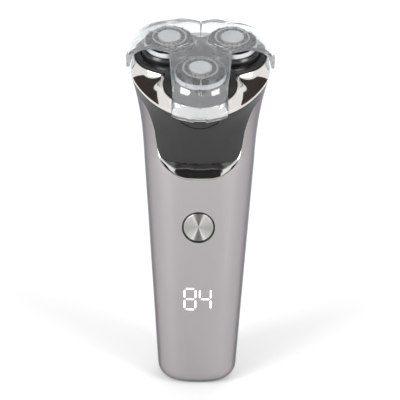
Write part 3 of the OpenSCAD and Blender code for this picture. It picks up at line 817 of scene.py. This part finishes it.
class SHAVER_OT_stage(bpy.types.Operator):
    """Sets the camera, the pale floor and the soft studio light"""

    bl_idname = "shaver.stage"
    bl_label = "Stage"

    def execute(self, context):
        scene = context.scene
        scene.view_settings.view_transform = "Standard"
        let_go()
        bpy.ops.object.camera_add()
        camera = added("camera")
        camera.matrix_world = (
            Matrix.Translation((0, -0.4686, 0.2259))
            @ Matrix.Rotation(math.radians(73), 4, "X")
            @ Matrix.Rotation(math.radians(0.7), 4, "Z")
        )
        camera.data.lens, camera.data.sensor_width = 99, 36
        camera.data.shift_x = 0.003
        scene.camera = camera

        bpy.ops.mesh.primitive_plane_add(size=12, location=(0, 2, -0.0002))
        floor = added("floor")
        floor.data.materials.append(
            finish("painted_floor", srgb("#F4F4F4"), 0.6, grain=2, depth=0.01, vary=0.005, mottle=300)
        )

        world = bpy.data.worlds.new("studio")
        world.use_nodes = True
        world.node_tree.nodes["Background"].inputs["Color"].default_value = (1, 1, 1, 1)
        world.node_tree.nodes["Background"].inputs["Strength"].default_value = 1.1
        scene.world = world

        for name, place, aim, width, power in (
            ("key_softbox", (-0.85, -0.8, 0.7), (0, -0.05, 0.1), 0.6, 10.0),
            ("fill_softbox", (0.85, -0.8, 0.65), (0, -0.05, 0.1), 0.5, 7.0),
            ("rear_softbox", (0.5, 1.3, 0.6), (0, 0.1, 0.0), 0.7, 4.0),
        ):
            let_go()
            bpy.ops.object.light_add(type="AREA", location=place)
            light = bpy.context.object
            light.name = name
            light.data.size = width
            light.data.energy = power
            light.rotation_euler = (Vector(aim) - Vector(place)).to_track_quat("-Z", "Y").to_euler()

        # A dim ceiling gives the foils something darker than the room to mirror, a black flag over the
        # front makes the middle of the bezel dark, and one on each side gives the chrome its dark patch
        for name, middle, spread, tint in (
            ("dim_ceiling", (0, 0.62, 1.7), (1.7, 1.5), "#C6C6C6"),
            ("overhead_flag", (0.02, -0.62, 1.2), (0.6, 1.35), "#050505"),
            ("left_flag", (-0.72, 0.12, 1.1), (0.8, 0.6), "#2A2321"),
            ("right_flag", (0.72, 0.12, 1.1), (0.8, 0.6), "#2A2321"),
        ):
            let_go()
            bpy.ops.mesh.primitive_plane_add(size=1)
            card = added(name)
            aim = (Vector((0, 0, 0.12)) - Vector(middle)).to_track_quat("Z", "X").to_matrix().to_4x4()
            grown = Matrix.Diagonal((spread[1], spread[0], 1, 1))
            card.data.transform(Matrix.Translation(middle) @ aim @ grown)
            card.data.materials.append(finish(f"{name}_felt", srgb(tint), 0.9, grain=1, vary=0.05))
        return {"FINISHED"}


def shell_levels(out, top, steps, arc=10):
    """(height, inset) from the rounded bottom edge to the top."""
    r = out.base_round
    low = [(r * (1 - cosd(90 * k / arc)), r * (1 - sind(90 * k / arc))) for k in range(arc)]
    return low + [(r + (top - r) * k / steps, 0.0) for k in range(steps + 1)]


class SHAVER_OT_front_shell(bpy.types.Operator):
    """Builds the plated front shell with its rounded base and button hole"""

    bl_idname = "shaver.front_shell"
    bl_label = "Front shell"

    def execute(self, context):
        out = Outlines()
        steps, arc = 110, 10

        def point(u, v):
            th = 270 + SPLIT_TURN * (2 * u - 1)
            z, inset = shell_levels(out, out.shell_high(th), steps, arc)[round(v * (steps + arc))]
            return out.skin(th, z, inset)

        shell = close(grid("front_shell_moulding", 190, steps + arc, point), closed=False)
        face_away(shell, lambda c: Vector((c.x, c.y, 0)))
        thicken(shell, out.wall)
        soften(shell, 0.12)
        hole = out.button_radius + BUTTON_CLEARANCE
        cut(shell, rod("button_hole", hole, (0, 0, -4), (0, 0, 6), 128, out.button))
        complete(shell, "handle", champagne_plating(), ["front_shell"], 30)
        return {"FINISHED"}


class SHAVER_OT_rear_cover(bpy.types.Operator):
    """Builds the dark rear cover with its grip grooves"""

    bl_idname = "shaver.rear_cover"
    bl_label = "Rear cover"

    def execute(self, context):
        out = Outlines()
        depth = context.scene.shaver_handle.grip_depth / MM
        reach, steps, arc = 180 - SPLIT_TURN - 0.3, 200, 10

        def point(u, v):
            th = 90 + reach * (2 * u - 1)
            z, inset = shell_levels(out, out.shell_high(th), steps, arc)[round(v * (steps + arc))]
            # Grooves 3.4 mm apart in an oval field, fading out at its edge
            field = 1 - (((th - 90) / 42) ** 2 + ((z - 62) / 42) ** 2)
            groove = depth * clamp(field * 4) * (0.5 - 0.5 * math.cos(2 * math.pi * z / 3.4)) ** 2
            return out.skin(th, z, inset + groove)

        cover = close(grid("rear_cover_moulding", 110, steps + arc, point), closed=False)
        face_away(cover, lambda c: Vector((c.x, c.y, 0)))
        thicken(cover, out.wall - 0.1)
        soften(cover, 0.12, limit=60)
        complete(cover, "handle", soft_touch_grip(), ["rear_cover"])
        return {"FINISHED"}


def hinge_knuckle(name, start, end, out):
    """A round knuckle on the shaving unit's hinge, from one X to another."""
    return rod(name, KNUCKLE_RADIUS, (start, HINGE_Y, HINGE_Z), (end, HINGE_Y, HINGE_Z), 64, out.head)


class SHAVER_OT_neck_collar(bpy.types.Operator):
    """Builds the dark neck with its scooped front, hinge knuckles and release window"""

    bl_idname = "shaver.neck_collar"
    bl_label = "Neck collar"

    def execute(self, context):
        out = Outlines()
        steps = 40
        spans = 2 * steps + 2

        def point(u, v):
            th, k = 360 * u, round(v * spans)
            low, top = out.neck_low(th), out.seam_top(th) - out.gap
            # Up the outside, across the joint's plane, down the inside and back across the bottom
            if k <= steps or k == spans:
                return out.neck_skin(th, low + (top - low) * (k % spans) / steps)
            top -= out.wall * sind(th) * sind(out.tilt)
            return out.neck_skin(th, low + (top - low) * (spans - 1 - k) / steps, out.wall)

        neck = close(grid("neck_moulding", 360, spans, point))
        soften(neck, 0.12, limit=60)
        cut(neck, pad_block("release_window", out, 0.25, -26, -35))
        for side in (-1, 1):
            near, far = 4.4 * side, 9 * side
            knuckle = hinge_knuckle("knuckle", near, far, out)
            low, high = sorted((near, far))
            foot = block("knuckle_foot", (low, 26.9, -15.7), (high, HINGE_Y, -14.3), out.head)
            for part in (knuckle, foot):
                soften(part, 0.15)
            join(neck, knuckle, foot)
        complete(neck, "handle", dark_moulding(), ["neck_collar"])
        return {"FINISHED"}


class SHAVER_OT_mirror_bezel(bpy.types.Operator):
    """Builds the polished crescent between the handle and the neck"""

    bl_idname = "shaver.mirror_bezel"
    bl_label = "Mirror bezel"

    def execute(self, context):
        out = Outlines()
        bulge = 0.35

        def point(u, v):
            th = 270 + (BEZEL_END + 0.3) * (2 * u - 1)
            low = out.shell_high(th) + out.gap
            high = max(out.neck_low(th) - out.gap, low + 0.02)
            a, b = out.skin(th, low, 0.1), out.neck_skin(th, high, 0.1)
            rise = bulge * math.sin(math.pi * v) * clamp((high - low) / 4)
            return a.lerp(b, v) + Vector((cosd(th), sind(th), 0.5)) * rise

        bezel = close(grid("mirror_crescent", 140, 16, point), closed=False)
        face_away(bezel, lambda c: Vector((c.x, c.y, 0)))
        thicken(bezel, 1.2)
        soften(bezel, 0.08, limit=60)
        complete(bezel, "handle", chrome_plating(), ["mirror_bezel"], 50)
        return {"FINISHED"}


def pad_outline(x, slack=0.0):
    """Depths of the release pad's top and bottom edge at x."""
    u = x / (PAD_HALF_WIDTH + slack)
    return PAD_TOP - slack, PAD_BOTTOM + slack - 2.2 * u * u


def pad_block(name, out, slack, front, back):
    """A block with the release pad's outline, from one head-frame Y to another."""

    def point(u, v):
        x = (PAD_HALF_WIDTH + slack) * (2 * u - 1)
        top, bottom = pad_outline(x, slack)
        return (x, front, -(top + (bottom - top) * v))

    sheet = grid(name, 24, 4, point, out.head)
    outward = out.head.to_3x3() @ Vector((0, 1, 0))
    face_away(sheet, lambda c: outward)
    thicken(sheet, abs(back - front))
    return close(sheet)


class SHAVER_OT_release_button(bpy.types.Operator):
    """Builds the release pad, flush with the neck, with its catch"""

    bl_idname = "shaver.release_button"
    bl_label = "Release button"

    def execute(self, context):
        out = Outlines()

        def point(u, v):
            x = PAD_HALF_WIDTH * (2 * u - 1)
            top, bottom = pad_outline(x)
            depth = top + (bottom - top) * v
            return (x, out.on_neck(x, depth) + 0.05, -depth)

        pad = grid("release_pad", 48, 14, point, out.head)
        outward = out.head.to_3x3() @ Vector((0, -1, 0))
        face_away(pad, lambda c: outward)
        thicken(pad, 1.25)
        close(pad)
        soften(pad, 0.18, limit=45)
        low, high = -18.25, -17.6
        bars = []
        for x in (-4.2, 4.2):
            bars.append(block("rail", (x - 0.6, -30.4, low), (x + 0.6, -27.6, high), out.head))
        # The catch is thin, so that it stays off its spring when it is pressed
        bars.append(block("bridge", (-4.8, -28.1, low), (4.8, -27.65, high), out.head))
        bars.append(block("catch", (-3, -28.1, -27.2), (3, -27.65, -17.9), out.head))
        for bar in bars:
            soften(bar, 0.12)
        join(pad, *bars)
        complete(pad, "release_button", dark_moulding(), ["release_button"])
        return {"FINISHED"}


class SHAVER_OT_chrome_skirt(bpy.types.Operator):
    """Builds the chrome skirt of the shaving unit, dished between its lobes"""

    bl_idname = "shaver.chrome_skirt"
    bl_label = "Chrome skirt"

    def execute(self, context):
        out = Outlines()
        lip = [(RIM_DEPTH + 0.45 - 0.45 * sind(a), 0.45 - 0.45 * cosd(a)) for a in range(0, 181, 20)]
        inside = [(9.4, 0.9), (9.6, 1.4), (11.4, 1.4), (13.7, 1.4), (13.85, 1.25)]
        outside = [(13.85, 0.15), (13.7, 0.0)] + [(13.4 - 0.33 * k, 0.0) for k in range(15)]
        outline = list(reversed(outside)) + list(reversed(inside)) + list(reversed(lip))
        outline.append(outline[0])
        spans = len(outline) - 1

        def point(u, v):
            depth, inset = outline[round(v * spans)]
            th = 360 * u
            r = out.skirt_outline(th, depth) - inset
            return (r * cosd(th), r * sind(th), -depth)

        skirt = close(grid("chrome_skirt_moulding", 300, spans, point, out.head))
        knuckle = hinge_knuckle("unit_knuckle", -4.2, 4.2, out)
        link = block("unit_link", (-4.2, 27.4, -13.6), (4.2, HINGE_Y, -12.4), out.head)
        for part in (knuckle, link):
            soften(part, 0.15)
        join(skirt, knuckle, link)
        complete(skirt, "shaving_unit", chrome_plating(), ["chrome_skirt"], 40)
        return {"FINISHED"}


class SHAVER_OT_head_plate(bpy.types.Operator):
    """Builds the black domed plate that the three heads float in"""

    bl_idname = "shaver.head_plate"
    bl_label = "Head plate"

    def execute(self, context):
        out = Outlines()
        rings = 22

        def dome(r):
            return -5.5 - 2.5 * r * r / 31**2

        def point(u, v):
            th = 360 * u
            edge = out.rim_outline(th) - 1.05
            k = round(v * (2 * rings + 2))
            if k <= rings:
                r = edge * k / rings
                return (r * cosd(th), r * sind(th), dome(r))
            r = edge * (2 * rings + 2 - k) / rings if k > rings + 1 else edge
            return (min(r, edge) * cosd(th), min(r, edge) * sind(th), -9.2)

        plate = close(grid("head_plate_moulding", 240, 2 * rings + 2, point, out.head))
        for i in range(3):
            cut(plate, rod("head_hole", 12.4, (0, 0, -14), (0, 0, -3), 128, out.head_at(i)))
        soften(plate, 0.2, limit=55)
        boss = rod("screw_boss", 2.2, (0, 0, -11.8), (0, 0, -8.9), 48, out.head)
        join(plate, soften(boss, 0.2))
        complete(plate, "shaving_unit", black_gloss(), ["head_plate"])
        return {"FINISHED"}


def copies(first, name, out):
    """The piece of head 1 and copies with their own meshes for heads 2 and 3, each in its place."""
    made = []
    for i in range(3):
        pick(first)
        bpy.ops.object.duplicate(linked=False)
        piece = added(f"{name}_{i + 1}")
        piece.data.transform(out.head_at(i))
        made.append(piece)
    bpy.data.objects.remove(first)
    return made


def slotted_track(name, before, slotted, after, slots, wall):
    """A thin ring along a line of (radius, height) points, with radial slots through the middle points."""
    line = before + slotted + after
    spans = len(line) - 1
    first, last = len(before), len(before) + len(slotted) - 1

    def point(u, v):
        r, z = line[round(v * spans)]
        k = round(u * slots * 2)
        th = 360 * (k // 2 + (k % 2) * 0.48) / slots
        return (r * cosd(th), r * sind(th), z)

    def is_slot(column, row):
        return 1 if column % 2 and first <= row < last else 0

    track = grid(name, slots * 2, spans, point, finish_of=is_slot)
    pick(track)
    bpy.ops.object.mode_set(mode="EDIT")
    bpy.ops.mesh.select_all(action="DESELECT")
    bpy.ops.object.mode_set(mode="OBJECT")
    for face in track.data.polygons:
        face.select = face.material_index == 1
    bpy.ops.object.mode_set(mode="EDIT")
    bpy.ops.mesh.delete(type="FACE")
    bpy.ops.object.mode_set(mode="OBJECT")
    close(track, closed=False)
    face_away(track, lambda c: Vector((c.x, c.y, 8 * MM)))
    return thicken(track, wall)


class SHAVER_OT_foil_guards(bpy.types.Operator):
    """Builds the three slotted steel foils"""

    bl_idname = "shaver.foil_guards"
    bl_label = "Foil guards"

    def execute(self, context):
        out = Outlines()
        sizes = context.scene.shaver_head
        inner = slotted_track(
            "inner_track", [(4.56, 0), (4.8, 0)], [(4.95, 0), (5.9, 0), (6.8, 0)], [(6.95, 0), (7.2, -0.02)],
            sizes.inner_slots, 0.3,
        )
        # The outer slots run over the rim and a little way down the side
        outer = slotted_track(
            "outer_track", [(7.15, 0), (7.3, 0)],
            [(7.45, 0), (8.7, 0), (9.9, 0), (10.2, -0.03), (10.42, -0.15), (10.55, -0.5), (10.62, -1.5)],
            [(10.7, -2.2), (10.8, -3.5)], sizes.outer_slots, 0.28,
        )
        whole = join(outer, inner)
        for i, foil in enumerate(copies(whole, "foil_guard_etched", out)):
            complete(foil, f"head_{i + 1}", etched_steel(), [f"foil_guard_{i + 1}"], 30)
        return {"FINISHED"}


class SHAVER_OT_head_discs(bpy.types.Operator):
    """Builds the three pearl discs in the middle of the foils"""

    bl_idname = "shaver.head_discs"
    bl_label = "Head discs"

    def execute(self, context):
        out = Outlines()
        crown = [(0.0001, 0.33), (1.5, 0.33), (3.0, 0.32), (3.6, 0.3)]
        edge = rounded([(4.5, 0.3), (4.5, -0.35), (1.5, -0.35), (1.5, -2.2), (0.0001, -2.2)], 0.18)
        disc = turned("disc", crown + edge[:-5] + [(0.0001, -2.2)], 96)
        for i, piece in enumerate(copies(disc, "head_disc_pearl", out)):
            complete(piece, f"head_{i + 1}", pearl_disc(), [f"head_disc_{i + 1}"])
        return {"FINISHED"}


class SHAVER_OT_head_rings(bpy.types.Operator):
    """Builds the three black rings that carry the foils"""

    bl_idname = "shaver.head_rings"
    bl_label = "Head rings"

    def execute(self, context):
        out = Outlines()
        profile = [
            (10.4, -3.52), (11.2, -3.7), (12.1, -4.9), (12.1, -9.45), (13, -9.45), (13, -10.05),
            (11.75, -10.05), (11.75, -6), (10.4, -6),
        ]
        ring = turned("ring", rounded(profile, 0.22), 128)
        for i, piece in enumerate(copies(ring, "head_ring_moulding", out)):
            complete(piece, f"head_{i + 1}", black_gloss(), [f"head_ring_{i + 1}"])
        return {"FINISHED"}


class SHAVER_OT_power_button(bpy.types.Operator):
    """Builds the spun aluminium power button and the black ring around it"""

    bl_idname = "shaver.power_button"
    bl_label = "Power button"

    def execute(self, context):
        out = Outlines()
        r = out.button_radius
        # Slightly dished face, turned chamfer, then the skirt down to the stem
        rim = [
            (r - 0.55, 0.1), (r - 0.35, 0.07), (r - 0.1, 0.25), (r, 0.4),
            (r, 1.45), (r - 0.1, 1.55), (0.001, 1.55),
        ]
        face = [(0.001, 0.36)]
        face += [((r - 0.55) * k / 10, 0.36 - 0.26 * (k / 10) ** 2) for k in range(1, 10)]
        outline = face + rim
        spans = len(outline) - 1

        def point(u, v):
            radius, depth = outline[round(v * spans)]
            return (radius * cosd(360 * u), radius * sind(360 * u), depth)

        cap = close(grid("power_button_turned", 128, spans, point, out.button))
        complete(cap, "power_button", spun_aluminium(), ["power_button_cap"], 25)
        hole = r + BUTTON_CLEARANCE
        profile = [(r + 0.15, 0.4), (hole - 0.03, 0.3), (hole - 0.03, 2.55), (r + 0.15, 2.55)]
        ring = turned("button_ring_gloss", rounded(profile, 0.12), 128, out.button)
        complete(ring, "handle", black_gloss(), ["button_ring"])
        return {"FINISHED"}


STROKES = {
    "a": (0, 1, 0), "g": (0, 0, 0), "d": (0, -1, 0),
    "b": (1, 0.5, 90), "c": (1, -0.5, 90), "f": (-1, 0.5, 90), "e": (-1, -0.5, 90),
}


class SHAVER_OT_display_digits(bpy.types.Operator):
    """Builds the lit digits of the charge display"""

    bl_idname = "shaver.display_digits"
    bl_label = "Display digits"

    def execute(self, context):
        out = Outlines()
        c = context.scene.shaver_controls
        stroke, mitre = c.stroke / MM, 1.15
        across, tall = (c.digit_width - c.stroke) / MM, (c.digit_height - c.stroke) / 2 / MM
        half, middle, pitch = stroke / 2, c.display_height / MM, c.digit_pitch / MM
        bars = []
        for digit, letters in ((-0.5, "abcdefg"), (0.5, "bcfg")):
            for letter in letters:
                side, level, lean = STROKES[letter]
                length = ((tall if lean else across) - mitre) / 2
                x0, z0 = digit * pitch + side * across / 2, middle + level * tall

                def point(u, v):
                    s = length * (2 * u - 1)
                    t = (2 * v - 1) * min(half, max(0.0, length - abs(s)) + 0.08)
                    x, z = (x0 + t, z0 + s) if lean else (x0 + s, z0 + t)
                    # Just proud of the shell's face
                    th = 270 + math.degrees(math.atan2(x, out.front_depth(z)))
                    p = out.skin(th, z)
                    for _ in range(3):
                        th += math.degrees((x - p.x) / out.front_depth(z))
                        p = out.skin(th, z)
                    return (x, p.y - 0.04, z)

                bar = grid(f"stroke_{letter}", 16, 4, point)
                face_away(bar, lambda c: Vector((0, -1, 0)))
                bars.append(thicken(bar, 0.3))
        digits = close(join(bars[0], *bars[1:]))
        digits.name = "display_digits_lit"
        complete(digits, "handle", lit_strokes(), ["display_digits"])
        return {"FINISHED"}


class SHAVER_OT_travel_cap(bpy.types.Operator):
    """Builds the clear travel cap over the three heads"""

    bl_idname = "shaver.travel_cap"
    bl_label = "Travel cap"

    def execute(self, context):
        out = Outlines()
        wall, corner = out.cap_wall, out.arm_turn
        low, high = corner - 0.2, corner + 0.2
        arm = [-60, -58.4] + [-57 + (57 - high) * k / 12 for k in range(12)] + [-high]
        arm += [-low + (low - 1.1) * k / 16 for k in range(16)] + [-1.1, -0.75, 0, 0.75, 1.1]
        arm = arm + [-a for a in reversed(arm[:-5])]
        arm = arm[:-1]
        columns = [(k, a) for k in range(3) for a in arm]
        columns.append((0, -60))
        roof = 26
        lip_steps = (0.2, 0.3, 1)

        def run(k, a):
            """(radius, height) from the middle over the roof, down the lip and back inside."""
            d = HEAD_DIRECTIONS[k]
            edge = out.cap_edge(a)
            has_lip = abs(a) < corner
            brim = out.dome_height(edge * cosd(a), edge * sind(a))
            under = brim - wall
            lip = 14.5 - (0.7 if abs(a) < 4.5 else 0) if k == 0 else 12
            foot = -lip if has_lip else under - 0.3
            band = max(edge, out.seam_outline(d + a) + 0.35 + wall) + 0.12 if has_lip else edge
            fin = 0.4 if k == 0 and abs(a) < 1 else 0.0
            # A fine groove runs from the middle to each inner corner, where two arms meet
            groove = 0.35 if abs(a) == 60 else 0.0
            rs = [edge * sind(90 * j / roof) for j in range(1, roof + 1)]
            top = [(r, out.dome_height(r * cosd(a), r * sind(a)) - groove * clamp((r - 1) / 4)) for r in rs]
            inner = [(r * (edge - wall) / edge, z - wall) for r, z in reversed(top)]
            top = [(r + fin * clamp((1 - z) / 1.5), z) for r, z in top]
            side = [((band if j else edge + fin), brim + (foot - brim) * s) for j, s in enumerate(lip_steps)]
            back = [((band if j else edge) - wall, under + (foot - under) * lip_steps[j]) for j in (2, 1, 0)]
            return [(0.0, 4.1)] + top + side + back + inner + [(0.0, 4.1 - wall)]

        runs = [run(k, a) for k, a in columns]
        spans = len(runs[0]) - 1

        def point(u, v):
            i = round(u * (len(columns) - 1))
            k, a = columns[i]
            r, z = runs[i][round(v * spans)]
            along, across = r * cosd(a), r * sind(a)
            if k == 0:
                # The front arm narrows towards its lip
                across *= 1 - 0.13 * clamp((along - 12) / 16)
            d = HEAD_DIRECTIONS[k]
            return (along * cosd(d) - across * sind(d), along * sind(d) + across * cosd(d), z)

        # Faces at the lip's cut ends take the second finish, whose grey is painted shade
        def edge(column, row):
            turns = [abs(columns[column + k][1]) for k in (0, 1)]
            is_end = min(turns) < corner < max(turns) and roof < row < roof + 6
            return 1 if is_end or row == roof + 3 else 0

        cap = close(grid("travel_cap_clear", len(columns) - 1, spans, point, out.head, edge))
        soften(cap, 0.16, limit=48)
        clear = (clear_polycarbonate(), clear_edge())
        complete(cap, "travel_cap", clear, ["travel_cap"], 22)
        return {"FINISHED"}


class SHAVER_OT_inner_parts(bpy.types.Operator):
    """Gives the parts inside the handle and the shaving unit their materials"""

    bl_idname = "shaver.inner_parts"
    bl_label = "Inner parts"

    def execute(self, context):
        groups = (
            (dark_moulding, "base_plate"),
            (bright_steel, "charging_socket cover_screws motor_can gear_screws hinge_pin motor_shaft"),
            (bright_steel, "release_spring frame_screw head_spring_1 head_spring_2 head_spring_3"),
            # The cutters' dark colour is painted shade for the slots over them
            (cutter_steel, "cutter_blades_1 cutter_blades_2 cutter_blades_3"),
            (black_nylon, "tact_switch motor_end_cap power_button_stem"),
            (cell_wrap, "battery"),
            (chassis_plastic, "inner_chassis motor_plate gear_plate chamber_floor"),
            (circuit_board, "circuit_board"),
            (off_white, "display_module"),
            (gear_acetal, "motor_pinion centre_gear drive_gear_1 drive_gear_2 drive_gear_3"),
            (gear_acetal, "cutter_coupler_1 cutter_coupler_2 cutter_coupler_3"),
            (seal_rubber, "floor_gasket spindle_seals"),
            (frame_plastic, "retaining_frame"),
        )
        for material, names in groups:
            for name in names.split():
                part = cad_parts[name]
                if not part.material_slots:
                    raise RuntimeError(f"{name} has no material slot")
                for slot in part.material_slots:
                    slot.material = material()
        return {"FINISHED"}


class SHAVER_PT_panel(bpy.types.Panel):
    """Sizes, finishes and building steps of the shaver"""

    bl_idname = "SHAVER_PT_panel"
    bl_label = "Rotary shaver"
    bl_space_type = "VIEW_3D"
    bl_region_type = "UI"
    bl_category = "Shaver"

    def draw(self, context):
        for group in GROUPS:
            box = self.layout.box()
            for key in getattr(context.scene, group).bl_rna.properties.keys():
                if key not in ("rna_type", "name"):
                    box.prop(getattr(context.scene, group), key)
        for step in STEPS:
            self.layout.operator(step.bl_idname)


GROUPS = {
    "shaver_handle": ShaverHandleSizes,
    "shaver_head": ShaverHeadSizes,
    "shaver_controls": ShaverControlSizes,
    "shaver_cap": ShaverCapSizes,
    "shaver_finishes": ShaverFinishes,
}
STEPS = (
    SHAVER_OT_stage,
    SHAVER_OT_front_shell,
    SHAVER_OT_rear_cover,
    SHAVER_OT_neck_collar,
    SHAVER_OT_mirror_bezel,
    SHAVER_OT_release_button,
    SHAVER_OT_power_button,
    SHAVER_OT_display_digits,
    SHAVER_OT_chrome_skirt,
    SHAVER_OT_head_plate,
    SHAVER_OT_foil_guards,
    SHAVER_OT_head_discs,
    SHAVER_OT_head_rings,
    SHAVER_OT_travel_cap,
    SHAVER_OT_inner_parts,
)


def register():
    for kind in (*GROUPS.values(), *STEPS, SHAVER_PT_panel):
        bpy.utils.register_class(kind)
    for name, kind in GROUPS.items():
        setattr(bpy.types.Scene, name, bpy.props.PointerProperty(type=kind))


def unregister():
    for name in GROUPS:
        delattr(bpy.types.Scene, name)
    for kind in reversed((*GROUPS.values(), *STEPS, SHAVER_PT_panel)):
        bpy.utils.unregister_class(kind)


def main():
    register()
    for step in STEPS:
        group, name = step.bl_idname.split(".")
        getattr(getattr(bpy.ops, group), name)()
    let_go()


if __name__ == "__main__":
    main()
